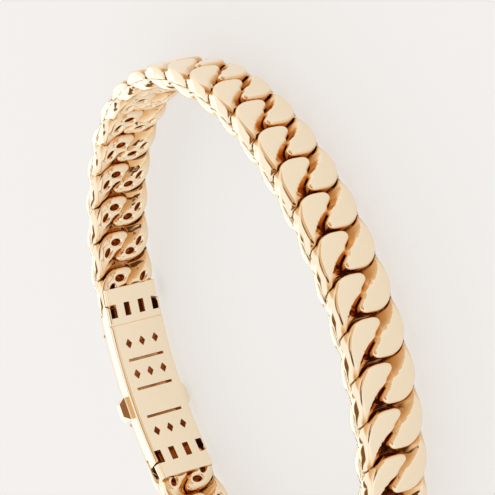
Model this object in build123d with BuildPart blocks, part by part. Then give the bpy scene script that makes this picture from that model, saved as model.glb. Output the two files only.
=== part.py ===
from build123d import *
import os
from math import cos, degrees, hypot, pi, radians, sin, tan

# Driving dimensions, in millimetres and degrees

# The loop: an ellipse through the middle of the chain, seen along the band's width
loop_half_length = 33.9
loop_half_width = 26.55

# The chain
free_links = 34
band_width = 8.0
chain_thickness = 3.0
corner_radius = 3.1
top_bevel = 0.25
link_gap = 0.2
end_gap = 0.3
inner_narrowing = 0.32
web_thickness = 1.5
web_length = 1.3
web_width = 1.6

# The eyes pierced in the inner face of each link
eye_depth = 0.9
head_eye_length = 0.75
head_eye_width = 1.2
side_eye_length = 1.15
side_eye_width = 0.5

# The clasp
clasp_shift = 3.45
end_ring_spacing = 22.7
clasp_width = 7.86
clasp_thickness = 3.8
clasp_rounding = 0.4
ring_setback = 0.25
lip_reach = 1.6
lip_thickness = 0.32
mouth_place = 8.47
mouth_gap = 0.12
outer_wall = 0.7
inner_wall = 0.6
side_wall = 0.8
box_end_wall = 1.9

# The piercings of the clasp's inner plate, by their place along it
slot_place = 10.35
slot_length = 1.6
slot_width = 0.75
slot_spacing = 2.1
slot_depth = 1.0
diamond_places = (5.69, 1.39, -6.85)
diamond_length = 1.15
diamond_width = 0.8
diamond_spacing = 1.97
cross_slot_places = (3.41, -0.66, -4.66)
cross_slot_length = 5.1
cross_slot_width = 0.3

# The tongue and the two push buttons
tongue_thickness = 0.7
tongue_side_gap = 0.27
tongue_height = 0.2
tongue_tip = -7.2
spring_leaf_thickness = 0.45
spring_leaf_back = 3.5
spring_leaf_drop = 1.1
button_place = -2.66
button_length = 3.0
button_depth = 2.0
button_top_length = 1.7
button_top_depth = 0.9
button_height = 1.1
button_straight = 0.45
button_flange = 0.5
button_seat_gap = 0.06
button_flange_thickness = 0.45
button_clearance = 0.1
button_travel = 0.55

# The wavy edge of a link's raised lobe, from its nose to the tip of its tail.
# Each row: share of the pitch from the link's middle, share of the half width.
lobe_edge = (
    (1.0, -0.05),
    (0.93, -0.18),
    (0.81, -0.215),
    (0.7, -0.17),
    (0.615, -0.09),
    (0.552, 0.0),
    (0.42, 0.21),
    (0.304, 0.425),
    (0.162, 0.64),
    (-0.102, 0.85),
    (-0.304, 1.0),
)

# The eyes of the inner face: share of the pitch, share of the half width, tilt in degrees
head_eye = (0.68, -0.246, 0.0)
side_eye = (0.434, -0.588, 30.0)

# Worked out from the values above
half_width = band_width / 2
half_thickness = chain_thickness / 2
middle_height = clasp_width / 2 + button_height
half_clasp = clasp_thickness / 2
half_clasp_width = clasp_width / 2
half_tongue_width = half_clasp_width - (
    side_wall + button_seat_gap + button_flange_thickness + button_travel + tongue_side_gap
)


# The loop's mid line
def loop_table(steps=1440):
    """Running length along the mid line, against the ellipse's angle."""
    angles = [2 * pi * i / steps for i in range(steps + 1)]
    points = [(loop_half_length * cos(t), loop_half_width * sin(t)) for t in angles]
    runs = [0.0]
    for (x0, y0), (x1, y1) in zip(points, points[1:]):
        runs.append(runs[-1] + hypot(x1 - x0, y1 - y0))
    return angles, runs


loop_angles, loop_runs = loop_table()
loop_length = loop_runs[-1]
pitch = (loop_length - end_ring_spacing) / (free_links + 1)
link_length = 2 * pitch - end_gap
sharpest_bend = degrees(pitch * loop_half_length / loop_half_width**2)


def loop_angle(along):
    """The ellipse's angle at a distance clockwise from the clasp's middle."""
    run = (loop_length / 4 - clasp_shift - along) % loop_length
    low, high = 0, len(loop_runs) - 1
    while high - low > 1:
        middle = (low + high) // 2
        if loop_runs[middle] <= run:
            low = middle
        else:
            high = middle
    share = (run - loop_runs[low]) / (loop_runs[high] - loop_runs[low])
    return loop_angles[low] + share * (loop_angles[high] - loop_angles[low])


def loop_plane(along):
    """A plane on the mid line, its x clockwise and its z outwards."""
    t = loop_angle(along)
    normal = Vector(loop_half_width * cos(t), loop_half_length * sin(t), 0).normalized()
    place = Vector(loop_half_length * cos(t), loop_half_width * sin(t), middle_height)
    return Plane(origin=place, x_dir=(normal.Y, -normal.X, 0), z_dir=normal)


turned_over = Location((0, 0, 0), (180, 0, 0))


def lobe_plan(growth=0.0):
    """The plan of a link's raised lobe, or of the same lobe grown on every side."""
    with BuildSketch() as plan:
        RectangleRounded(link_length + 2 * growth, band_width + 2 * growth, corner_radius + growth)
        with BuildLine():
            points = [(along * pitch, across * half_width) for along, across in lobe_edge]
            crest = Spline(*points, mode=Mode.PRIVATE)
            shares = [i / len(points) for i in range(len(points) + 1)]
            moved = [crest @ u + (crest % u).rotate(Axis.Z, 90) * growth for u in shares]
            edge = Spline(*moved)
            Polyline(
                edge @ 1,
                ((edge @ 1).X, band_width),
                (link_length, band_width),
                (link_length, (edge @ 0).Y),
                edge @ 0,
            )
        make_face(mode=Mode.INTERSECT)
    return plan.sketch


lobe = lobe_plan()
grown_lobe = lobe_plan(link_gap)

# Room for a neighbour's lobe: it passes over a floor that slopes away from the crossing
room_reach = link_length
room_fall = room_reach * tan(radians(sharpest_bend / 2))
with BuildPart() as passing_room:
    with BuildSketch(Plane.XY.offset(-chain_thickness)):
        with Locations((-pitch, 0)):
            add(grown_lobe)
    extrude(amount=2 * chain_thickness)
    with BuildSketch(Plane.XZ):
        with BuildLine():
            Polyline(
                (-pitch / 2, -link_gap / 2),
                (-pitch / 2 - room_reach, -link_gap / 2 - room_fall),
                (-pitch / 2 - room_reach, chain_thickness),
                (-pitch / 2 + room_reach, chain_thickness),
                (-pitch / 2 + room_reach, -link_gap / 2 - room_fall),
                close=True,
            )
        make_face()
    extrude(amount=band_width, both=True, mode=Mode.INTERSECT)

# The lobes: straight and bevelled at the top on the outer face, narrowing all the way on the inner face
with BuildPart() as outer_lobe:
    with BuildSketch():
        add(lobe)
    extrude(amount=half_thickness - top_bevel)
    with BuildSketch(Plane.XY.offset(half_thickness - top_bevel)):
        add(lobe)
    with BuildSketch(Plane.XY.offset(half_thickness)):
        add(lobe_plan(-top_bevel))
    loft(ruled=True)

with BuildPart() as inner_lobe:
    with BuildSketch():
        add(lobe)
    with BuildSketch(Plane.XY.offset(half_thickness)):
        add(lobe_plan(-inner_narrowing))
    loft(ruled=True)

# One link: two outer lobes, two inner ones turned over, and a web where they cross at each side
with BuildPart() as link:
    with PolarLocations(0, 2):
        add(outer_lobe.part)
    with Locations(turned_over):
        with PolarLocations(0, 2):
            add(inner_lobe.part)
    with BuildSketch(Plane.XY.offset(-web_thickness / 2)):
        with GridLocations(0, band_width - web_width, 1, 2):
            Rectangle(web_length, web_width)
    extrude(amount=web_thickness)
    with PolarLocations(0, 2):
        add(passing_room.part, mode=Mode.SUBTRACT)
    with Locations(turned_over):
        with PolarLocations(0, 2):
            add(passing_room.part, mode=Mode.SUBTRACT)
    with BuildSketch(Plane.XY.offset(-half_thickness)):
        with PolarLocations(0, 2):
            with Locations(Location((head_eye[0] * pitch, head_eye[1] * half_width, 0), head_eye[2])):
                Ellipse(head_eye_length / 2, head_eye_width / 2)
            with Locations(Location((side_eye[0] * pitch, side_eye[1] * half_width, 0), side_eye[2])):
                Ellipse(side_eye_length / 2, side_eye_width / 2)
    extrude(amount=eye_depth, mode=Mode.SUBTRACT)

# The half of a link that stands out of each end of the clasp
with BuildPart() as end_ring:
    add(link.part)
    split(bisect_by=Plane.YZ.offset(-ring_setback - end_gap), keep=Keep.TOP)


# The clasp follows the loop on one arc
clasp_angle = loop_angle(0)
clasp_radius = hypot(loop_half_length * sin(clasp_angle), loop_half_width * cos(clasp_angle)) ** 3 / (
    loop_half_length * loop_half_width
)
middle_plane = Plane(
    origin=loop_plane(0).origin,
    x_dir=loop_plane(0).x_dir,
    z_dir=(0, 0, 1),
)


def on_arc(along, height):
    """A point in the clasp's middle plane, `along` the arc and `height` outside it."""
    turn = along / clasp_radius
    reach = clasp_radius + height
    return (reach * sin(turn), reach * cos(turn) - clasp_radius)


def arc_band(start, end, low, high):
    """The face between two places along the arc and two heights over it."""
    middle = (start + end) / 2
    with BuildLine() as outline:
        outer = ThreePointArc(on_arc(start, high), on_arc(middle, high), on_arc(end, high))
        inner = ThreePointArc(on_arc(start, low), on_arc(middle, low), on_arc(end, low))
        Line(outer @ 0, inner @ 0)
        Line(outer @ 1, inner @ 1)
    make_face(outline.edges())


def clasp_plane(along, height, z_dir, rise=0.0):
    """A plane on the clasp, its x clockwise along the arc."""
    turn = along / clasp_radius
    across, out = on_arc(along, height)
    place = middle_plane.from_local_coords(Vector(across, out, rise))
    tangent = middle_plane.from_local_coords(Vector(cos(turn), -sin(turn), 0)) - middle_plane.origin
    return Plane(origin=place, x_dir=tangent, z_dir=z_dir)


def inner_face(along):
    """The clasp's inner face at a place along it, facing the wrist."""
    outwards = clasp_plane(along, 0, (0, 0, 1)).y_dir
    return clasp_plane(along, -half_clasp, -outwards)


block_end = end_ring_spacing / 2 - ring_setback
lip_end = block_end + lip_reach
box_mouth = mouth_place - mouth_gap / 2
base_mouth = mouth_place + mouth_gap / 2
cavity_low = inner_wall - half_clasp
cavity_high = half_clasp - outer_wall
cavity_end = box_end_wall - block_end


def inner_slots(place):
    """Four oblong recesses across the inner face."""
    with BuildSketch(inner_face(place)) as slots:
        with GridLocations(0, slot_spacing, 1, 4):
            Rectangle(slot_length, slot_width)
    extrude(slots.sketch, amount=slot_depth, both=True, mode=Mode.SUBTRACT)


# The clasp's base: the end of the chain that carries the tongue
with BuildPart() as clasp_base:
    with BuildSketch(middle_plane):
        arc_band(base_mouth, block_end, -half_clasp, half_clasp)
    extrude(amount=half_clasp_width, both=True)
    fillet(clasp_base.edges().filter_by(GeomType.CIRCLE), clasp_rounding)
    with BuildSketch(middle_plane):
        arc_band(block_end - lip_reach, lip_end, -half_clasp, lip_thickness - half_clasp)
    extrude(amount=half_clasp_width - clasp_rounding, both=True)
    inner_slots(slot_place)
    with BuildSketch(middle_plane):
        arc_band(tongue_tip, base_mouth + clasp_rounding, tongue_height, tongue_height + tongue_thickness)
        with BuildLine():
            leaf_root = on_arc(tongue_tip, tongue_height)
            leaf_end = on_arc(spring_leaf_back, tongue_height - spring_leaf_drop)
            leaf_bend = on_arc(tongue_tip + 2 * tongue_thickness, tongue_height + tongue_thickness / 2)
            Polyline(
                on_arc(tongue_tip, tongue_height + tongue_thickness / 2),
                leaf_root,
                leaf_end,
                (leaf_end[0], leaf_end[1] + spring_leaf_thickness),
                leaf_bend,
                close=True,
            )
        make_face()
    extrude(amount=half_tongue_width, both=True)
    with Locations(loop_plane(end_ring_spacing / 2).location):
        add(end_ring.part)

# The clasp's box: hollow, open at its mouth, its inner plate pierced
with BuildPart() as clasp_box:
    with BuildSketch(middle_plane):
        arc_band(-block_end, box_mouth, -half_clasp, half_clasp)
    extrude(amount=half_clasp_width, both=True)
    fillet(clasp_box.edges().filter_by(GeomType.CIRCLE), clasp_rounding)
    with BuildSketch(middle_plane):
        arc_band(-lip_end, lip_reach - block_end, -half_clasp, lip_thickness - half_clasp)
    extrude(amount=half_clasp_width - clasp_rounding, both=True)
    inner_slots(-slot_place)
    with BuildSketch(middle_plane):
        arc_band(cavity_end, mouth_place, cavity_low, cavity_high)
    extrude(amount=half_clasp_width - side_wall, both=True, mode=Mode.SUBTRACT)
    for place in diamond_places:
        with BuildSketch(inner_face(place)):
            with GridLocations(0, diamond_spacing, 1, 3):
                Polygon(
                    (diamond_length / 2, 0),
                    (0, diamond_width / 2),
                    (-diamond_length / 2, 0),
                    (0, -diamond_width / 2),
                )
        extrude(amount=2 * inner_wall, both=True, mode=Mode.SUBTRACT)
    for place in cross_slot_places:
        with BuildSketch(inner_face(place)):
            Rectangle(cross_slot_width, cross_slot_length)
        extrude(amount=2 * inner_wall, both=True, mode=Mode.SUBTRACT)
    with BuildSketch(clasp_plane(button_place, 0, (0, 0, 1), -clasp_width)):
        Rectangle(button_length + 2 * button_clearance, button_depth + 2 * button_clearance)
    extrude(amount=2 * clasp_width, mode=Mode.SUBTRACT)
    with Locations(loop_plane(-end_ring_spacing / 2).location * Location((0, 0, 0), (0, 0, 180))):
        add(end_ring.part)


def push_button(name, side):
    """A button that slides in through the side wall, faceted outside and flanged inside."""
    with BuildPart() as button:
        wall = clasp_plane(button_place, 0, (0, 0, side), side * half_clasp_width)
        shoulder = -side_wall - button_seat_gap
        with BuildSketch(wall.offset(shoulder - button_flange_thickness)):
            Rectangle(button_length + 2 * button_flange, button_depth)
        extrude(amount=button_flange_thickness)
        with BuildSketch(wall.offset(shoulder)):
            Rectangle(button_length, button_depth)
        extrude(amount=button_straight - shoulder)
        with BuildSketch(wall.offset(button_straight)):
            Rectangle(button_length, button_depth)
        with BuildSketch(wall.offset(button_height)):
            Rectangle(button_top_length, button_top_depth)
        loft()
    button.part.label = name
    return button.part


# Everything in its place
pieces = [push_button("button_a", 1), push_button("button_b", -1)]
clasp_base.part.label = "clasp_base"
clasp_box.part.label = "clasp_box"
pieces += [clasp_base.part, clasp_box.part]
for number in range(1, free_links + 1):
    placed = loop_plane(end_ring_spacing / 2 + number * pitch).location * link.part
    placed.label = f"link_{number:02d}"
    pieces.append(placed)

os.makedirs("parts", exist_ok=True)
for piece in pieces:
    export_step(piece, f"parts/{piece.label}.step")
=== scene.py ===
import math

import bmesh
import bpy
import numpy as np
from mathutils import Matrix, Vector
from mathutils.geometry import delaunay_2d_cdt


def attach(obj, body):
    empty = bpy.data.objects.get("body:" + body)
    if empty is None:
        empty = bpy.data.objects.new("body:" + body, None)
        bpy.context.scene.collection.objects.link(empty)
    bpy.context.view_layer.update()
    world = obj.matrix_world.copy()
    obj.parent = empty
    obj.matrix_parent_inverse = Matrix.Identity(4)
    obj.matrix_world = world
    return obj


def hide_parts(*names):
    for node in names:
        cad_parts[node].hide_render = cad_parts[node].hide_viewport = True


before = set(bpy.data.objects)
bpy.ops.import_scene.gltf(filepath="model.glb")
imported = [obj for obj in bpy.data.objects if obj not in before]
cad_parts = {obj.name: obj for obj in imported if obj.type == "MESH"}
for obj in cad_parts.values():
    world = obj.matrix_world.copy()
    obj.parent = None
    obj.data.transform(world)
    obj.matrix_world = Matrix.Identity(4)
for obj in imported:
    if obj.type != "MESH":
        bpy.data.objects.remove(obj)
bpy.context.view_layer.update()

MM = 0.001

# Sizes of the bracelet, in millimetres
LOOP_HALF_LENGTH = 33.9
LOOP_HALF_WIDTH = 26.55
CLASP_SHIFT = 3.45
END_RING_SPACING = 22.7
FREE_LINKS = 34
BAND_WIDTH = 8.0
CHAIN_THICKNESS = 3.0
CORNER_RADIUS = 3.1
END_GAP = 0.3
CLASP_WIDTH = 7.86
CLASP_THICKNESS = 3.8
CLASP_ROUNDING = 0.4
BUTTON_HEIGHT = 1.1
MIDDLE_HEIGHT = CLASP_WIDTH / 2 + BUTTON_HEIGHT
HALF_WIDTH = BAND_WIDTH / 2
HALF_THICKNESS = CHAIN_THICKNESS / 2
HALF_CLASP = CLASP_THICKNESS / 2
HALF_CLASP_WIDTH = CLASP_WIDTH / 2


# The loop's mid line

def loop_table(steps=1440):
    """Running length along the mid line, against the ellipse's angle."""
    angles = np.linspace(0, 2 * math.pi, steps + 1)
    points = np.stack([LOOP_HALF_LENGTH * np.cos(angles), LOOP_HALF_WIDTH * np.sin(angles)], 1)
    runs = np.concatenate([[0], np.cumsum(np.linalg.norm(np.diff(points, axis=0), axis=1))])
    return angles, runs


LOOP_ANGLES, LOOP_RUNS = loop_table()
LOOP_LENGTH = LOOP_RUNS[-1]
PITCH = (LOOP_LENGTH - END_RING_SPACING) / (FREE_LINKS + 1)
LINK_HALF_LENGTH = PITCH - END_GAP / 2


def loop_angle(along):
    """The ellipse's angle at a distance clockwise from the clasp's middle."""
    return float(np.interp((LOOP_LENGTH / 4 - CLASP_SHIFT - along) % LOOP_LENGTH, LOOP_RUNS, LOOP_ANGLES))


def loop_place(along):
    """The place of a piece on the mid line: x clockwise, y down, z outwards."""
    t = loop_angle(along)
    out = Vector((LOOP_HALF_WIDTH * math.cos(t), LOOP_HALF_LENGTH * math.sin(t), 0)).normalized()
    onward = Vector((out.y, -out.x, 0))
    place = Vector((LOOP_HALF_LENGTH * math.cos(t), LOOP_HALF_WIDTH * math.sin(t), MIDDLE_HEIGHT)) * MM
    turn = Matrix((onward, out.cross(onward), out)).transposed()
    return Matrix.Translation(place) @ turn.to_4x4()


# Cushions: raised shapes with a softly rounded edge, cut from an outline

def smooth_curve(points, step):
    """Even points on the smooth curve through the given ones."""
    points = np.array(points, float)
    runs = np.concatenate([[0], np.cumsum(np.linalg.norm(np.diff(points, axis=0), axis=1))])
    count = len(points)
    h = np.diff(runs)
    system = np.eye(count)
    right = np.zeros((count, 2))
    for i in range(1, count - 1):
        system[i, i - 1 : i + 2] = h[i - 1], 2 * (h[i - 1] + h[i]), h[i]
        right[i] = 6 * ((points[i + 1] - points[i]) / h[i] - (points[i] - points[i - 1]) / h[i - 1])
    bend = np.linalg.solve(system, right)
    at = np.linspace(0, runs[-1], max(2, round(runs[-1] / step) + 1))
    k = np.clip(np.searchsorted(runs, at, side="right") - 1, 0, count - 2)
    a = (runs[k + 1] - at)[:, None]
    b = (at - runs[k])[:, None]
    w = h[k][:, None]
    return (
        bend[k] * a**3 / (6 * w)
        + bend[k + 1] * b**3 / (6 * w)
        + (points[k] / w - bend[k] * w / 6) * a
        + (points[k + 1] / w - bend[k + 1] * w / 6) * b
    )


def arc(centre, radius, start, end, step):
    """Points on an arc, its angles in degrees."""
    count = max(2, round(abs(math.radians(end - start)) * radius / step) + 1)
    turns = np.radians(np.linspace(start, end, count))
    return np.array(centre) + radius * np.stack([np.cos(turns), np.sin(turns)], 1)


def line(start, end, step):
    """Even points from start to end."""
    start = np.array(start, float)
    end = np.array(end, float)
    count = max(2, round(np.linalg.norm(end - start) / step) + 1)
    return start + (end - start) * np.linspace(0, 1, count)[:, None]


DOUBLED_POINT = 1e-3


def closed(*runs):
    """One closed outline from runs of points, without doubled points."""
    points = np.concatenate(runs)
    keep = np.linalg.norm(points - np.roll(points, 1, 0), axis=1) > DOUBLED_POINT
    return points[keep]


def edge_distance(points, loops):
    """How far each point lies from the nearest of the outlines."""
    nearest = np.full(len(points), math.inf)
    for loop in loops:
        a = loop[None]
        b = np.roll(loop, -1, 0)[None]
        p = points[:, None]
        share = np.clip(((p - a) * (b - a)).sum(-1) / ((b - a) ** 2).sum(-1), 0, 1)
        nearest = np.minimum(nearest, np.linalg.norm(p - a - (b - a) * share[..., None], axis=-1).min(1))
    return nearest


def inside(points, loop):
    """Which points lie within an outline."""
    x, y = points[:, None, 0], points[:, None, 1]
    ax, ay = loop[None, :, 0], loop[None, :, 1]
    bx, by = np.roll(loop, -1, 0)[None, :, 0], np.roll(loop, -1, 0)[None, :, 1]
    crossing = (ay > y) != (by > y)
    slope = np.where(by == ay, 1, by - ay)
    return (crossing & (x < ax + (bx - ax) * (y - ay) / slope)).sum(1) % 2 == 1


# Each row of a wall goes down by this share of the way that is left
WALL_STEPS = (0.3, 0.6, 1.0)
# Where the band's sides start, measured from its mid line, and how a wall's foot reaches out to them
SIDE_START = 2.6
SIDE_ROOM = 0.06
FLARE_WIDTH = 0.5
UPPER_FLARE = 0.7
# The rings and the grid between them, in millimetres or as shares of the grid's spacing
RING_SLACK = 0.006
ROW_SHARE = 0.87
GRID_STANDOFF = 0.45
SAME_POINT = 1e-5
HOLE_SIDE_FROM = 0.25
WIDEST_SKIN_FACE = 9


def flare(across, share):
    """How far a wall's foot stands out from its top, at the band's sides."""
    reach = max(HALF_WIDTH - SIDE_ROOM - across, 0)
    near_side = min(max((across - SIDE_START) / FLARE_WIDTH, 0), 1)
    return reach * near_side * (1 if share == 1 else UPPER_FLARE)


def cushion(outline, height, depths, bottom, spacing, holes=(), hole_bottom=0.0, closed_below=True):
    """A raised shape in millimetres. height(points, depth) gives its top from the depth behind the rim."""
    loops = [outline, *holes]
    points = []
    edges = []
    for loop, turn in [(outline, 1)] + [(hole, -1) for hole in holes]:
        tangent = np.roll(loop, -1, 0) - np.roll(loop, 1, 0)
        normal = turn * np.stack([-tangent[:, 1], tangent[:, 0]], 1)
        normal /= np.linalg.norm(normal, axis=1)[:, None]
        for depth in [0.0, *depths]:
            ring = loop + normal * depth
            good = edge_distance(ring, loops) > depth - RING_SLACK
            if depth > 0:
                good &= inside(ring, outline)
            index = np.full(len(ring), -1)
            index[good] = len(points) + np.arange(good.sum())
            points.extend(ring[good])
            after = np.roll(index, -1)
            edges += [(int(i), int(j)) for i, j in zip(index, after) if i >= 0 and j >= 0]
    low, high = outline.min(0), outline.max(0)
    rows = np.arange(low[1], high[1], spacing * ROW_SHARE)
    grid = np.array(
        [
            (x + (number % 2) * spacing / 2, y)
            for number, y in enumerate(rows)
            for x in np.arange(low[0], high[0], spacing)
        ]
    )
    grid = grid[inside(grid, outline)]
    for hole in holes:
        grid = grid[~inside(grid, hole)]
    grid = grid[edge_distance(grid, loops) > max(depths) + spacing * GRID_STANDOFF]
    points.extend(grid)
    cut = delaunay_2d_cdt([Vector(p) for p in points], edges, [], 0, SAME_POINT, False)
    flat = np.array([tuple(v) for v in cut[0]])
    faces = np.array(cut[2])
    middles = flat[faces].mean(1)
    keep = inside(middles, outline)
    for hole in holes:
        keep &= ~inside(middles, hole)
    faces = faces[keep]
    depth = edge_distance(flat, loops)
    top = height(flat, depth)
    shape = bmesh.new()
    corners = [shape.verts.new((x, y, z)) for (x, y), z in zip(flat, top)]
    for face in faces:
        shape.faces.new([corners[i] for i in face])
    for share in WALL_STEPS:
        rim = [e for e in shape.edges if len(e.link_faces) == 1]
        fallen = bmesh.ops.extrude_edge_only(shape, edges=rim)["geom"]
        low_verts = [v for v in fallen if isinstance(v, bmesh.types.BMVert)]
        places = np.array([v.co.xy for v in low_verts])
        in_hole = edge_distance(places, [outline]) > HOLE_SIDE_FROM
        for vert, hole_side in zip(low_verts, in_hole):
            foot = hole_bottom if hole_side else bottom
            vert.co.z += (foot - vert.co.z) * share
            if not hole_side:
                vert.co.y += flare(vert.co.y, share)
    bmesh.ops.holes_fill(shape, edges=[e for e in shape.edges if len(e.link_faces) == 1], sides=0)
    if not closed_below:
        wide = [face for face in shape.faces if face.calc_area() > WIDEST_SKIN_FACE]
        bmesh.ops.delete(shape, geom=wide, context="FACES_ONLY")
    bmesh.ops.delete(shape, geom=[v for v in shape.verts if not v.link_faces], context="VERTS")
    bmesh.ops.recalc_face_normals(shape, faces=shape.faces)
    return shape


def rounding_depths(radius, count):
    """Depths whose points lie evenly on the rounding of an edge."""
    return [radius * (1 - math.cos(math.pi / 2 * i / count)) for i in range(1, count + 1)]


# The flat of a link's lobe, from the tip of its tail to its nose.
# Each row: share of the pitch, share of the half width
LOBE_EDGE = (
    (-0.3, 0.95),
    (-0.1, 0.86),
    (0.07, 0.72),
    (0.18, 0.6),
    (0.312, 0.45),
    (0.442, 0.25),
    (0.533, 0.075),
    (0.58, -0.005),
    (0.64, -0.1),
    (0.7, -0.175),
    (0.76, -0.24),
    (0.84, -0.25),
    (0.91, -0.2),
    (0.955, -0.08),
    (0.966, 0.07),
)
# The lobe's outer side, swelling from the notch beside the neighbour's nose
SIDE_EDGE = (
    (-0.1, 0.9),
    (0.03, 0.96),
    (0.17, 0.99),
    (0.32, 1.0),
)
NOTCH_ANGLE = 45
NOTCH_GAP_SHARE = 0.75
STEP = 0.1
GRAIN = 0.28
SIDE_GAP = 0.1
# How far the flat reaches past the lobe's outer side
FLAT_REACH = 0.2
# Where stretches of the wavy edge start, as shares of the pitch
FACING_START = 0.5
CROSS_START = 0.6
UNDER_START = 0.045
UNDER_MARGIN = 0.1
wavy_edge = smooth_curve([(a * PITCH, b * HALF_WIDTH) for a, b in LOBE_EDGE], STEP)
nose_corner = (LINK_HALF_LENGTH - CORNER_RADIUS, HALF_WIDTH - CORNER_RADIUS)
nose = arc(nose_corner, CORNER_RADIUS, 0, 90, STEP)
beside = arc(
    (nose_corner[0] - PITCH, nose_corner[1]), CORNER_RADIUS + NOTCH_GAP_SHARE * END_GAP, 0, NOTCH_ANGLE, STEP
)
side_places = [(a * PITCH, b * HALF_WIDTH) for a, b in SIDE_EDGE]
side_edge = smooth_curve([beside[-1]] + side_places + [nose[-1]], STEP)


def flat_outline():
    """The flat, reaching past the lobe's outer side at its tail."""
    out = np.array([(wavy_edge[0][0], HALF_WIDTH + FLAT_REACH)])
    return closed(wavy_edge, nose, out)


def offset_line(points, amount):
    """A line moved to its right by an amount."""
    tangent = np.gradient(points, axis=0)
    normal = np.stack([tangent[:, 1], -tangent[:, 0]], 1)
    return points + amount * normal / np.linalg.norm(normal, axis=1)[:, None]


def lobe_outline():
    """The lobe with its tail's shoulder, which runs down to the neighbours' noses."""
    facing = wavy_edge[wavy_edge[:, 0] > FACING_START * PITCH]
    cross = wavy_edge[wavy_edge[:, 0] > CROSS_START * PITCH]
    under = offset_line(facing, SIDE_GAP)
    under = np.stack([PITCH - under[:, 0], -under[:, 1]], 1)
    along = under[:, 0]
    under = under[(along > UNDER_START * PITCH) & (along < FACING_START * PITCH - UNDER_MARGIN)]
    foot = (beside[0][0], under[-1][1] - UNDER_MARGIN)
    return closed(
        cross,
        nose,
        side_edge[::-1],
        beside[::-1],
        line(beside[0], foot, STEP),
        under[np.argsort(under[:, 0])],
    )


flat = flat_outline()
lobe = lobe_outline()


# The brink where the shoulder leaves the flat: its drop and softness, and where it comes in along the lobe
ON_THE_FLAT = 2e-3
BRINK_DROP = 0.42
BRINK_SOFTNESS = 0.25
BRINK_START = 0.02
BRINK_RUN = 0.2
# The shoulder beyond it, and the tail
SHOULDER_SLOPE = 0.35
SHOULDER_BEND = 0.2
TAIL_START = 0.3
TAIL_BEND = 0.04
# The rounded rim, which grows thinner over the shoulder
RIM_DROP = 0.5
RIM_FADE = 0.5
THINNEST_RIM = 0.15
LOWEST_TOP = 0.1


def lobe_height(rim_width):
    """The lobe's top: rounded at the rim, bent down at its tail, and falling away over the shoulder."""

    def height(points, depth):
        beyond = np.where(inside(points, flat), 0, edge_distance(points, [flat]))
        beyond = np.where(beyond < ON_THE_FLAT, 0, beyond)
        brink = BRINK_DROP * np.clip((points[:, 0] / PITCH + BRINK_START) / BRINK_RUN, 0, 1)
        fall = SHOULDER_SLOPE * beyond
        shoulder = brink * (1 - np.exp(-beyond / BRINK_SOFTNESS)) + fall + SHOULDER_BEND * beyond**2
        soft = np.clip(1 - beyond / RIM_FADE, THINNEST_RIM, 1)
        near = np.clip(depth / (rim_width * soft), 0, 1)
        rim = RIM_DROP * soft * (1 - np.sqrt(1 - (1 - near) ** 2))
        tail = TAIL_BEND * np.maximum(TAIL_START * PITCH - points[:, 0], 0) ** 2
        return np.maximum(HALF_THICKNESS - shoulder - rim - tail, LOWEST_TOP)

    return height


FEWEST_EYE_POINTS = 12
EYE_STEP = 0.09


def eye(place, length, width, tilt):
    """The outline of a pierced eye, its tilt in degrees."""
    count = max(FEWEST_EYE_POINTS, round(math.pi * (length + width) / 2 / EYE_STEP))
    turns = np.linspace(0, 2 * math.pi, count, endpoint=False)
    ring = np.stack([length / 2 * np.cos(turns), width / 2 * np.sin(turns)], 1)
    c, s = math.cos(math.radians(tilt)), math.sin(math.radians(tilt))
    return ring @ np.array([[c, s], [-s, c]]) + np.array(place)


def merge(shapes):
    """One mesh from several shapes, each with its own transform."""
    whole = bmesh.new()
    for shape, turn in shapes:
        mesh = bpy.data.meshes.new("part")
        shape.to_mesh(mesh)
        mesh.transform(turn)
        if turn.determinant() < 0:
            mesh.flip_normals()
        whole.from_mesh(mesh)
        bpy.data.meshes.remove(mesh)
    return whole


def eased(share):
    """A share from 0 to 1 with a soft start and end."""
    return share * share * (3 - 2 * share)


# Rims of the outer and the inner lobe, with the last ring beyond each, and the foot of their walls
OUTER_RIM = 0.55
INNER_RIM = 0.5
LAST_RING = 0.2
WALL_FOOT = 0.03
outer_lobe = cushion(
    lobe,
    lobe_height(OUTER_RIM),
    rounding_depths(OUTER_RIM, 6) + [OUTER_RIM + LAST_RING],
    WALL_FOOT,
    GRAIN,
)

# The eyes of an inner lobe: shares of the pitch and of the half width, then length, width and tilt
EYES = (
    (0.68, 0.246, 0.75, 1.2, 0),
    (0.434, 0.588, 1.15, 0.5, -30),
)
EYE_FLOOR = 0.1
# The ring round an eye: its width, how far it stands up, and over what width it falls away
EYE_RING_WIDTH = 0.4
EYE_RING_RISE = 0.15
EYE_RING_FALL = 0.45
inner_eyes = [eye((a * PITCH, b * HALF_WIDTH), *size) for a, b, *size in EYES]
plain_inner = lobe_height(INNER_RIM)


def inner_height(points, depth):
    """The inner lobe's top, standing highest in a ring round each eye."""
    away = np.clip((edge_distance(points, inner_eyes) - EYE_RING_WIDTH) / EYE_RING_FALL, 0, 1)
    return np.maximum(plain_inner(points, depth) - EYE_RING_RISE * eased(away), LOWEST_TOP)


inner_lobe = cushion(
    lobe,
    inner_height,
    rounding_depths(INNER_RIM, 5) + [INNER_RIM + LAST_RING],
    WALL_FOOT,
    GRAIN,
    holes=inner_eyes,
    hole_bottom=EYE_FLOOR,
)

SIDE_BULGE = 0.07
BULGE_MIDDLE = 0.5
# How far the sides lean along the chain, as a share of the pitch
SIDE_LEAN = 0.19
# The radius on which a link's ends fan out
FAN_RADIUS = 42
# The swelling of a link's ends: its size, how high it reaches, and where it comes in along the link
END_BULGE = 0.1
END_BULGE_HEIGHT = 1.1
END_BULGE_START = 0.85
END_BULGE_RUN = 0.1


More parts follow.
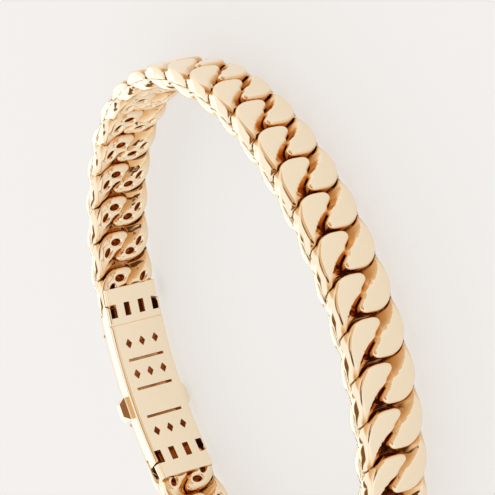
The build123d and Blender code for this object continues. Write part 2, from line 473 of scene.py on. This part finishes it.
def settle(mesh):
    """Leans a link's sides, so that links meet on a slant at the band's edges, and fans its ends out."""
    for vert in mesh.verts:
        x, y, z = vert.co
        side = eased(np.clip((abs(y) - SIDE_START) / (HALF_WIDTH - SIDE_START), 0, 1))
        fall = 1 - min(abs(z) / HALF_THICKNESS, 1)
        toward = -1 if y * z > 0 else 1
        at_end = np.clip((abs(x) / PITCH - END_BULGE_START) / END_BULGE_RUN, 0, 1)
        bulge = END_BULGE * np.clip(END_BULGE_HEIGHT - abs(z), 0, 1) * at_end
        lean = toward * SIDE_LEAN * PITCH * fall * side
        vert.co.x = x * (1 + z / FAN_RADIUS) + lean + math.copysign(bulge, x)
        vert.co.y = y * (1 + SIDE_BULGE * side * (BULGE_MIDDLE - (z / HALF_THICKNESS) ** 2))


def finished(shape, name, smooth=True):
    """A mesh in metres from a shape in millimetres."""
    mesh = bpy.data.meshes.new(name)
    shape.to_mesh(mesh)
    mesh.transform(Matrix.Scale(MM, 4))
    if smooth:
        mesh.shade_smooth()
    return mesh


HALF_TURN = Matrix.Rotation(math.pi, 4, "Z")
OVER = Matrix.Rotation(math.pi, 4, "X")
# The thin core that joins a link's four lobes
CORE_SIZE = (PITCH - 0.1, 1.8 * HALF_WIDTH, 0.04)
halves = []
for top, side in ((outer_lobe, Matrix()), (inner_lobe, OVER)):
    for turn in (Matrix(), HALF_TURN):
        halves.append((top, turn @ side))
core = bmesh.new()
bmesh.ops.create_cube(core, size=1, matrix=Matrix.Diagonal((*CORE_SIZE, 1)))
halves.append((core, Matrix()))
link_shape = merge(halves)
settle(link_shape)
link_mesh = finished(link_shape, "link")
ring_shape = merge([(outer_lobe, Matrix()), (inner_lobe, OVER)])
settle(ring_shape)
ring_mesh = finished(ring_shape, "end_ring")


# The clasp, drawn straight and then bent along its arc

SLOT_PLACE = 10.4
SLOT_LENGTH = 1.8
SLOT_WIDTHS = (1.0, 0.75, 0.75, 0.95)
SLOT_SPACING = 2.1
DIAMOND_PLACES = (5.69, 1.39, -6.85)
DIAMOND_LENGTH = 1.3
DIAMOND_WIDTH = 0.85
DIAMOND_SPACING = 1.97
CROSS_SLOT_PLACES = (3.41, -0.66, -4.66)
CROSS_SLOT_LENGTH = 5.1
CROSS_SLOT_WIDTH = 0.32
MOUTH = 8.47
MOUTH_GAP = 0.06
BLOCK_END = 11.1
LIP_END = 13.5
PLATE_RISE = 0.04
PLATE_HALF_WIDTH = 3.62
PIERCED_DEPTH = 0.9
PLATE_ROUNDING = 0.1
PLATE_DIP = 1.2
PLATE_DIP_MARGIN = 0.15
PLATE_DIP_RUN = 0.2
PLATE_UNDERSIDE = 0.1
# Rings beyond the block's rounding, the step along outlines and the spacing of the grids
BLOCK_RINGS = (0.1, 0.3)
CLASP_STEP = 0.12
BLOCK_GRAIN = 0.5
PLATE_GRAIN = 0.4
# How the side walls slant: the slant, the height that it starts at, and where it comes in across the clasp
SIDE_SLANT = 0.3
SLANT_HEIGHT = 0.1
SLANT_START = 3.3
SLANT_RUN = 0.5
SHARP_ANGLE = 40
# The sleeve that closes the mouth behind the gap
SLEEVE_SIZE = (0.6, 7.0, 3.5)
SLEEVE_DROP = 0.05
# The pins' heads: each place along and outwards, and their size
PIN_PLACES = ((7.32, 1.09), (-4.55, 1.25))
PIN_RADIUS = 0.2
PIN_DEPTH = 0.14
PIN_SIDES = 20

clasp_turn = loop_angle(0)
CLASP_RADIUS = math.hypot(
    LOOP_HALF_LENGTH * math.sin(clasp_turn), LOOP_HALF_WIDTH * math.cos(clasp_turn)
) ** 3 / (LOOP_HALF_LENGTH * LOOP_HALF_WIDTH)


def polygon(corners):
    """A closed outline through corners, counterclockwise."""
    return closed(*[line(a, b, CLASP_STEP) for a, b in zip(corners, corners[1:] + corners[:1])])


def oblong(x0, x1, y0, y1):
    """The outline of an oblong between two places along and two across."""
    return polygon([(x0, y0), (x1, y0), (x1, y1), (x0, y1)])


def slots(place):
    """The four oblong slots across the inner plate, the outermost the widest."""
    found = []
    for number, width in enumerate(SLOT_WIDTHS):
        y = (number - (len(SLOT_WIDTHS) - 1) / 2) * SLOT_SPACING
        start, end = place - SLOT_LENGTH / 2, place + SLOT_LENGTH / 2
        found.append(oblong(start, end, y - width / 2, y + width / 2))
    return found


def diamonds(place):
    """A row of three diamonds across the inner plate."""
    found = []
    long, wide = DIAMOND_LENGTH / 2, DIAMOND_WIDTH / 2
    for number in (-1, 0, 1):
        y = number * DIAMOND_SPACING
        found.append(polygon([(place - long, y), (place, y - wide), (place + long, y), (place, y + wide)]))
    return found


def cross_slot(place):
    """A thin slot across the inner plate."""
    half = CROSS_SLOT_WIDTH / 2
    long = CROSS_SLOT_LENGTH / 2
    return oblong(place - half, place + half, -long, long)


def rounded(top, radius, dip=0.0):
    """A level top with a rounded rim, lower by the dip where the plate lies over it."""

    def height(points, depth):
        near = np.clip(depth / radius, 0, 1)
        rim = radius * (1 - np.sqrt(1 - (1 - near) ** 2))
        room = PLATE_HALF_WIDTH - PLATE_DIP_MARGIN - np.abs(points[:, 1])
        return top - rim - dip * np.clip(room / PLATE_DIP_RUN, 0, 1)

    return height


def bent(along, across, high):
    """A place of the straight clasp, moved onto the clasp's arc."""
    reach = CLASP_RADIUS + high
    turn = along / CLASP_RADIUS
    return Vector((reach * math.sin(turn), across, reach * math.cos(turn) - CLASP_RADIUS))


def clasp_mesh(name, start, end, plate_start, plate_end, holes):
    """A block of the clasp with its pierced inner plate."""
    block = oblong(start, end, -HALF_CLASP_WIDTH, HALF_CLASP_WIDTH)
    plate = oblong(plate_start, plate_end, -PLATE_HALF_WIDTH, PLATE_HALF_WIDTH)
    block_rings = rounding_depths(CLASP_ROUNDING, 5) + [CLASP_ROUNDING + more for more in BLOCK_RINGS]
    plate_rings = rounding_depths(PLATE_ROUNDING, 2) + [2 * PLATE_ROUNDING]
    outer_top = rounded(HALF_CLASP, CLASP_ROUNDING)
    inner_top = rounded(HALF_CLASP, CLASP_ROUNDING, PLATE_DIP)
    outer = cushion(block, outer_top, block_rings, 0, BLOCK_GRAIN, closed_below=False)
    inner = cushion(block, inner_top, block_rings, 0, BLOCK_GRAIN, closed_below=False)
    pierced = cushion(
        plate,
        rounded(HALF_CLASP + PLATE_RISE, PLATE_ROUNDING),
        plate_rings,
        HALF_CLASP - PIERCED_DEPTH - PLATE_UNDERSIDE,
        PLATE_GRAIN,
        holes,
        HALF_CLASP - PIERCED_DEPTH,
        closed_below=False,
    )
    whole = merge([(outer, Matrix()), (inner, OVER), (pierced, OVER)])
    if start > 0:
        sleeve = Matrix.Translation((start, 0, -SLEEVE_DROP)) @ Matrix.Diagonal((*SLEEVE_SIZE, 1))
        bmesh.ops.create_cube(whole, size=1, matrix=sleeve)
    for vert in whole.verts:
        along, across, high = vert.co
        side = min(max((abs(across) - SLANT_START) / SLANT_RUN, 0), 1)
        across -= math.copysign(SIDE_SLANT * side * max(high - SLANT_HEIGHT, 0), across)
        vert.co = bent(along, across, high)
    mesh = finished(whole, name)
    mesh.set_sharp_from_angle(angle=math.radians(SHARP_ANGLE))
    return mesh


def pin_mesh(name, places):
    """Pin heads in the clasp's upper side wall."""
    whole = bmesh.new()
    upright = Matrix.Rotation(math.pi / 2, 4, "X")
    for along, high in places:
        across = SIDE_SLANT * (high - SLANT_HEIGHT) - HALF_CLASP_WIDTH
        bmesh.ops.create_cone(
            whole,
            cap_ends=True,
            segments=PIN_SIDES,
            radius1=PIN_RADIUS,
            radius2=PIN_RADIUS,
            depth=PIN_DEPTH,
            matrix=Matrix.Translation(bent(along, across, high)) @ upright,
        )
    return finished(whole, name, smooth=False)


def mirrored(outline):
    """The outline as the turned-over inner plate needs it."""
    return np.stack([outline[:, 0], -outline[:, 1]], 1)[::-1]


box_holes = slots(-SLOT_PLACE)
for place in DIAMOND_PLACES:
    box_holes += diamonds(place)
for place in CROSS_SLOT_PLACES:
    box_holes.append(cross_slot(place))
base_mesh = clasp_mesh(
    "clasp_base",
    MOUTH + MOUTH_GAP / 2,
    BLOCK_END,
    MOUTH + MOUTH_GAP / 2,
    LIP_END,
    [mirrored(hole) for hole in slots(SLOT_PLACE)],
)
box_mesh = clasp_mesh(
    "clasp_box",
    -BLOCK_END,
    MOUTH - MOUTH_GAP / 2,
    -LIP_END,
    MOUTH - MOUTH_GAP / 2,
    [mirrored(hole) for hole in box_holes],
)
pins_mesh = pin_mesh("clasp_pins", PIN_PLACES)


# Finishes

def value_steps(tree, value, low, high, shape="SMOOTHSTEP"):
    """A step from 0 to 1 while a value goes from low to high."""
    step = tree.nodes.new("ShaderNodeMapRange")
    step.interpolation_type = shape
    step.inputs["From Min"].default_value = low
    step.inputs["From Max"].default_value = high
    tree.links.new(value, step.inputs["Value"])
    return step.outputs["Result"]


def feed(tree, socket, value):
    """Gives a socket a fixed value, or joins another socket to it."""
    if isinstance(value, bpy.types.NodeSocket):
        tree.links.new(value, socket)
    else:
        socket.default_value = value


def calculate(tree, operation, *values):
    """One step of arithmetic between numbers and sockets."""
    node = tree.nodes.new("ShaderNodeMath")
    node.operation = operation
    for socket, value in zip(node.inputs, values):
        feed(tree, socket, value)
    return node.outputs[0]


def blend(tree, share, first, second):
    """A colour between two, each a colour or a socket."""
    mix = tree.nodes.new("ShaderNodeMix")
    mix.data_type = "RGBA"
    tree.links.new(share, mix.inputs["Factor"])
    feed(tree, mix.inputs["A"], first)
    feed(tree, mix.inputs["B"], second)
    return mix.outputs["Result"]


def noise(tree, place, scale, detail):
    """Fine unevenness over a surface."""
    grain = tree.nodes.new("ShaderNodeTexNoise")
    grain.inputs["Scale"].default_value = scale
    grain.inputs["Detail"].default_value = detail
    tree.links.new(place, grain.inputs["Vector"])
    return grain.outputs["Fac"]


# The gold's colour on the polished top, then painted shade and painted warm inter-reflection that deepen it
# towards the bottom of the grooves
GOLD_PAINTED_SHADE_TONES = (
    (0.0, (1.0, 0.86, 0.65, 1)),
    (0.12, (0.92, 0.66, 0.4, 1)),
    (0.32, (0.74, 0.43, 0.18, 1)),
    (0.65, (0.5, 0.24, 0.085, 1)),
    (1.0, (0.24, 0.1, 0.035, 1)),
)
# Painted glow: the grooves give off a faint warm light of their own, standing in for inter-reflected light
GROOVE_PAINTED_GLOW = (0.02, 0.006, 0.0015, 1)
GLOW_STEEPNESS = 3.0
NO_GLOW = (0, 0, 0, 1)
SCRATCH_SCALE = 900
SCRATCH_DETAIL = 3
CLOUD_SCALE = 800
CLOUD_DETAIL = 2
LEAST_TONE = 0.5
POLISH = 0.045
SCRATCH_ROUGHNESS = 0.05


def painted_shade_and_polish_group():
    """Painted shade and painted warm glow that deepen the gold where it sits low, and its fine polishing
    marks.
    """
    group = bpy.data.node_groups.new("gold_painted_shade_and_polish", "ShaderNodeTree")
    group.interface.new_socket("Depth", in_out="INPUT", socket_type="NodeSocketFloat")
    group.interface.new_socket("Place", in_out="INPUT", socket_type="NodeSocketVector")
    group.interface.new_socket("Base Color", in_out="OUTPUT", socket_type="NodeSocketColor")
    group.interface.new_socket("Roughness", in_out="OUTPUT", socket_type="NodeSocketFloat")
    group.interface.new_socket("Emission Color", in_out="OUTPUT", socket_type="NodeSocketColor")
    given = group.nodes.new("NodeGroupInput")
    wanted = group.nodes.new("NodeGroupOutput")
    scratches = noise(group, given.outputs["Place"], SCRATCH_SCALE, SCRATCH_DETAIL)
    # The clouds vary the painted shade at random
    clouds = noise(group, given.outputs["Place"], CLOUD_SCALE, CLOUD_DETAIL)
    uneven = calculate(group, "MULTIPLY_ADD", clouds, 1.0, LEAST_TONE)
    deep = calculate(group, "MULTIPLY", given.outputs["Depth"], uneven)
    tones = group.nodes.new("ShaderNodeValToRGB")
    steps = tones.color_ramp.elements
    while len(steps) < len(GOLD_PAINTED_SHADE_TONES):
        steps.new(1.0)
    for step, (place, colour) in zip(steps, GOLD_PAINTED_SHADE_TONES):
        step.position = place
        step.color = colour
    group.links.new(deep, tones.inputs["Fac"])
    group.links.new(tones.outputs["Color"], wanted.inputs["Base Color"])
    # Painted glow, strongest at the bottom of the grooves
    glow = blend(group, calculate(group, "POWER", deep, GLOW_STEEPNESS), NO_GLOW, GROOVE_PAINTED_GLOW)
    group.links.new(glow, wanted.inputs["Emission Color"])
    rough = calculate(group, "MULTIPLY_ADD", scratches, SCRATCH_ROUGHNESS, POLISH)
    group.links.new(rough, wanted.inputs["Roughness"])
    return group


# Heights from the mid line between which a groove's painted shade fades, and where it ends at the band's
# sides
GROOVE_LOW = -0.1
GROOVE_HIGH = 1.42
GROOVE_SIDE = (3.3, 3.8)
# The painted shade in the grooves of the inner face is lighter than outside by this share
INNER_SHADE_LIGHTER = 0.28
# How far the painted shade fades over a piercing's wall, where it ends at the clasp's sides, and how deep it
# gets
PIERCING_FADE = 0.5
PIERCING_SIDE = (3.7, 3.78)
PIERCING_SHADE = 0.66
# Pin heads get the grooves' deep painted shade tone, so they show as dark dots
PIN_SHADE = 0.85


def link_shade_depth(tree, axes):
    """How deep a place lies in the grooves between lobes: the mask for their painted shade."""
    height = calculate(tree, "ABSOLUTE", axes.outputs["Z"])
    across = calculate(tree, "ABSOLUTE", axes.outputs["Y"])
    top = value_steps(tree, height, GROOVE_LOW * MM, GROOVE_HIGH * MM, "LINEAR")
    side = value_steps(tree, across, *(edge * MM for edge in GROOVE_SIDE))
    low = calculate(tree, "SUBTRACT", 1.0, calculate(tree, "MAXIMUM", top, side))
    inner = calculate(tree, "LESS_THAN", axes.outputs["Z"], 0.0)
    lighter = calculate(tree, "SUBTRACT", 1.0, calculate(tree, "MULTIPLY", inner, INNER_SHADE_LIGHTER))
    return calculate(tree, "MULTIPLY", low, lighter)


def clasp_shade_depth(tree, axes):
    """How deep a place lies in the piercings of the clasp's inner plate: the mask for their painted shade.
    """
    reach = calculate(tree, "ADD", axes.outputs["Z"], CLASP_RADIUS * MM)
    square = calculate(tree, "MULTIPLY", reach, reach)
    along = calculate(tree, "MULTIPLY", axes.outputs["X"], axes.outputs["X"])
    height = calculate(tree, "SQRT", calculate(tree, "ADD", square, along))
    inner_face = CLASP_RADIUS - HALF_CLASP
    low = value_steps(tree, height, inner_face * MM, (inner_face + PIERCING_FADE) * MM)
    across = calculate(tree, "ABSOLUTE", axes.outputs["Y"])
    side = value_steps(tree, across, *(edge * MM for edge in PIERCING_SIDE))
    outer = calculate(tree, "GREATER_THAN", height, CLASP_RADIUS * MM)
    pierced = calculate(tree, "SUBTRACT", low, calculate(tree, "MAXIMUM", side, outer))
    return calculate(tree, "MULTIPLY", pierced, PIERCING_SHADE)


def pin_shade_depth(tree, axes):
    """The same deep painted shade all over a pin head."""
    worn = tree.nodes.new("ShaderNodeValue")
    worn.outputs[0].default_value = PIN_SHADE
    return worn.outputs[0]


def gold_finish(name, depth=None):
    """Polished gold. depth: the function that tells how low a place lies, if painted shade deepens the
    colour with it.
    """
    finish = bpy.data.materials.new(name)
    finish.use_nodes = True
    tree = finish.node_tree
    shader = tree.nodes["Principled BSDF"]
    shader.inputs["Metallic"].default_value = 1
    tone = tree.nodes.new("ShaderNodeGroup")
    tone.node_tree = gold_painted_shade_and_polish
    place = tree.nodes.new("ShaderNodeTexCoord").outputs["Object"]
    tree.links.new(place, tone.inputs["Place"])
    if depth:
        axes = tree.nodes.new("ShaderNodeSeparateXYZ")
        tree.links.new(place, axes.inputs[0])
        tree.links.new(depth(tree, axes), tone.inputs["Depth"])
    tree.links.new(tone.outputs["Base Color"], shader.inputs["Base Color"])
    tree.links.new(tone.outputs["Roughness"], shader.inputs["Roughness"])
    tree.links.new(tone.outputs["Emission Color"], shader.inputs["Emission Color"])
    shader.inputs["Emission Strength"].default_value = 1
    return finish


gold_painted_shade_and_polish = painted_shade_and_polish_group()
gold = gold_finish("polished_gold")
# Link and clasp gold get painted shade and painted glow in their grooves and piercings
link_gold = gold_finish("polished_link_gold_painted_shade", link_shade_depth)
clasp_gold = gold_finish("polished_clasp_gold_painted_shade", clasp_shade_depth)
link_mesh.materials.append(link_gold)
ring_mesh.materials.append(link_gold)
base_mesh.materials.append(clasp_gold)
box_mesh.materials.append(clasp_gold)
pins_mesh.materials.append(gold_finish("pin_gold_painted_shade", pin_shade_depth))
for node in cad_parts.values():
    node.data.materials.clear()
    node.data.materials.append(gold)

# How far the links have slid along the loop where they lie: link number, millimetres
SLIDES = ((0, 0.0), (2.5, 0.4), (5, 0.4), (17, -0.45), (21, -0.45), (35, 0.0))


def place_piece(name, mesh, place, node):
    """A built piece of the chain's body, standing for a node of the model."""
    piece = bpy.data.objects.new(name, mesh)
    bpy.context.scene.collection.objects.link(piece)
    piece.matrix_world = place
    bpy.context.view_layer.update()
    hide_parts(node)
    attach(piece, "chain")


for number in range(1, FREE_LINKS + 1):
    name = f"link_{number:02d}"
    slide = float(np.interp(number, *zip(*SLIDES)))
    place_piece(f"gold_{name}", link_mesh, loop_place(END_RING_SPACING / 2 + number * PITCH + slide), name)
place_piece("gold_clasp_base", base_mesh, loop_place(0), "clasp_base")
place_piece("gold_clasp_box", box_mesh, loop_place(0), "clasp_box")
place_piece("gold_clasp_pins", pins_mesh, loop_place(0), "clasp_box")
place_piece("gold_base_ring", ring_mesh, loop_place(END_RING_SPACING / 2), "clasp_base")
place_piece("gold_box_ring", ring_mesh, loop_place(-END_RING_SPACING / 2) @ HALF_TURN, "clasp_box")


# Floor, light and camera

# Patches of the studio: azimuth and elevation of the middle, half width, half height, softness, colour
PATCHES = (
    (-62, 20, 48, 24, 0.7, (0.72, 0.54, 0.36)),
    (78, 16, 38, 26, 0.5, (1.4, 1.4, 1.4)),
    (-72, 48, 26, 10, 0.5, (0.3, 0.13, 0.05)),
    (-116, 30, 14, 12, 0.5, (0.12, 0.06, 0.025)),
    (107, 54, 20, 10, 0.4, (0.2, 0.09, 0.02)),
)


PALE = (1, 1, 1, 1)


def light_the_world(tree):
    """A pale studio with a bright bank of light behind the bracelet and darker, warmer patches round it."""
    ground = tree.nodes["Background"]
    way = tree.nodes.new("ShaderNodeTexCoord").outputs["Generated"]
    colour = PALE
    for azimuth, elevation, width, height, soft, shine in PATCHES:
        a, e = math.radians(azimuth), math.radians(elevation)
        middle = Vector((math.cos(a) * math.cos(e), math.sin(a) * math.cos(e), math.sin(e)))
        right = Vector((-math.sin(a), math.cos(a), 0))
        above = middle.cross(-right)
        reaches = []
        for axis, half in ((right, width), (above, height), (middle, 0)):
            dot = tree.nodes.new("ShaderNodeVectorMath")
            dot.operation = "DOT_PRODUCT"
            tree.links.new(way, dot.inputs[0])
            dot.inputs[1].default_value = axis / math.sin(math.radians(half)) if half else axis
            reaches.append(dot.outputs["Value"])
        reach = calculate(
            tree,
            "ADD",
            calculate(tree, "MULTIPLY", reaches[0], reaches[0]),
            calculate(tree, "MULTIPLY", reaches[1], reaches[1]),
        )
        within = calculate(tree, "SUBTRACT", 1.0, value_steps(tree, reach, 1 - soft, 1 + soft))
        within = calculate(tree, "MULTIPLY", within, calculate(tree, "GREATER_THAN", reaches[2], 0.0))
        colour = blend(tree, within, colour, (*shine, 1))
    tree.links.new(colour, ground.inputs["Color"])


# The floor, which shines a little of itself so that it stays pale
FLOOR_REACH = 3.0
FLOOR_ROUGHNESS = 0.9
FLOOR_GLOW = 0.52
FLOOR_GLOW_COLOUR = (1.0, 0.985, 0.965, 1)
FLOOR_GRAIN_SCALE = 40
FLOOR_TINTS = ((0.395, 0.39, 0.384, 1), (0.405, 0.4, 0.394, 1))


def studio():
    """The pale floor and the light round the bracelet."""
    floor_mesh = bpy.data.meshes.new("floor")
    corners = [(x * FLOOR_REACH, y * FLOOR_REACH, 0) for x, y in ((-1, -1), (1, -1), (1, 1), (-1, 1))]
    floor_mesh.from_pydata(corners, [], [(0, 1, 2, 3)])
    floor = bpy.data.objects.new("floor", floor_mesh)
    bpy.context.scene.collection.objects.link(floor)
    paint = bpy.data.materials.new("pale_floor")
    paint.use_nodes = True
    tree = paint.node_tree
    shader = tree.nodes["Principled BSDF"]
    shader.inputs["Roughness"].default_value = FLOOR_ROUGHNESS
    shader.inputs["Emission Strength"].default_value = FLOOR_GLOW
    shader.inputs["Emission Color"].default_value = FLOOR_GLOW_COLOUR
    grain = tree.nodes.new("ShaderNodeTexNoise")
    grain.inputs["Scale"].default_value = FLOOR_GRAIN_SCALE
    tree.links.new(blend(tree, grain.outputs["Fac"], *FLOOR_TINTS), shader.inputs["Base Color"])
    floor_mesh.materials.append(paint)
    world = bpy.data.worlds.new("studio")
    bpy.context.scene.world = world
    world.use_nodes = True
    light_the_world(world.node_tree)
    bpy.context.scene.view_settings.view_transform = "Standard"


# The camera: its lens and place in millimetres, and which way its picture's sides and view point
SENSOR_WIDTH = 36
FOCAL_LENGTH = 131.67
NEAREST = 0.01
FARTHEST = 10
CAMERA_PLACE = (-34.80, -184.15, 112.49)
CAMERA_RIGHT = (-0.344063, -0.426928, -0.836273)
CAMERA_DOWN = (-0.915161, 0.351678, 0.196984)
CAMERA_FORWARD = (0.210001, 0.833100, -0.511707)


def camera():
    """The camera, at the photo's angle to the bracelet."""
    lens = bpy.data.cameras.new("camera")
    lens.sensor_width = SENSOR_WIDTH
    lens.lens = FOCAL_LENGTH
    lens.clip_start = NEAREST
    lens.clip_end = FARTHEST
    eye_point = bpy.data.objects.new("camera", lens)
    bpy.context.scene.collection.objects.link(eye_point)
    turn = Matrix((Vector(CAMERA_RIGHT), -Vector(CAMERA_DOWN), -Vector(CAMERA_FORWARD))).transposed()
    eye_point.matrix_world = Matrix.Translation(Vector(CAMERA_PLACE) * MM) @ turn.to_4x4()
    bpy.context.scene.camera = eye_point


studio()
camera()
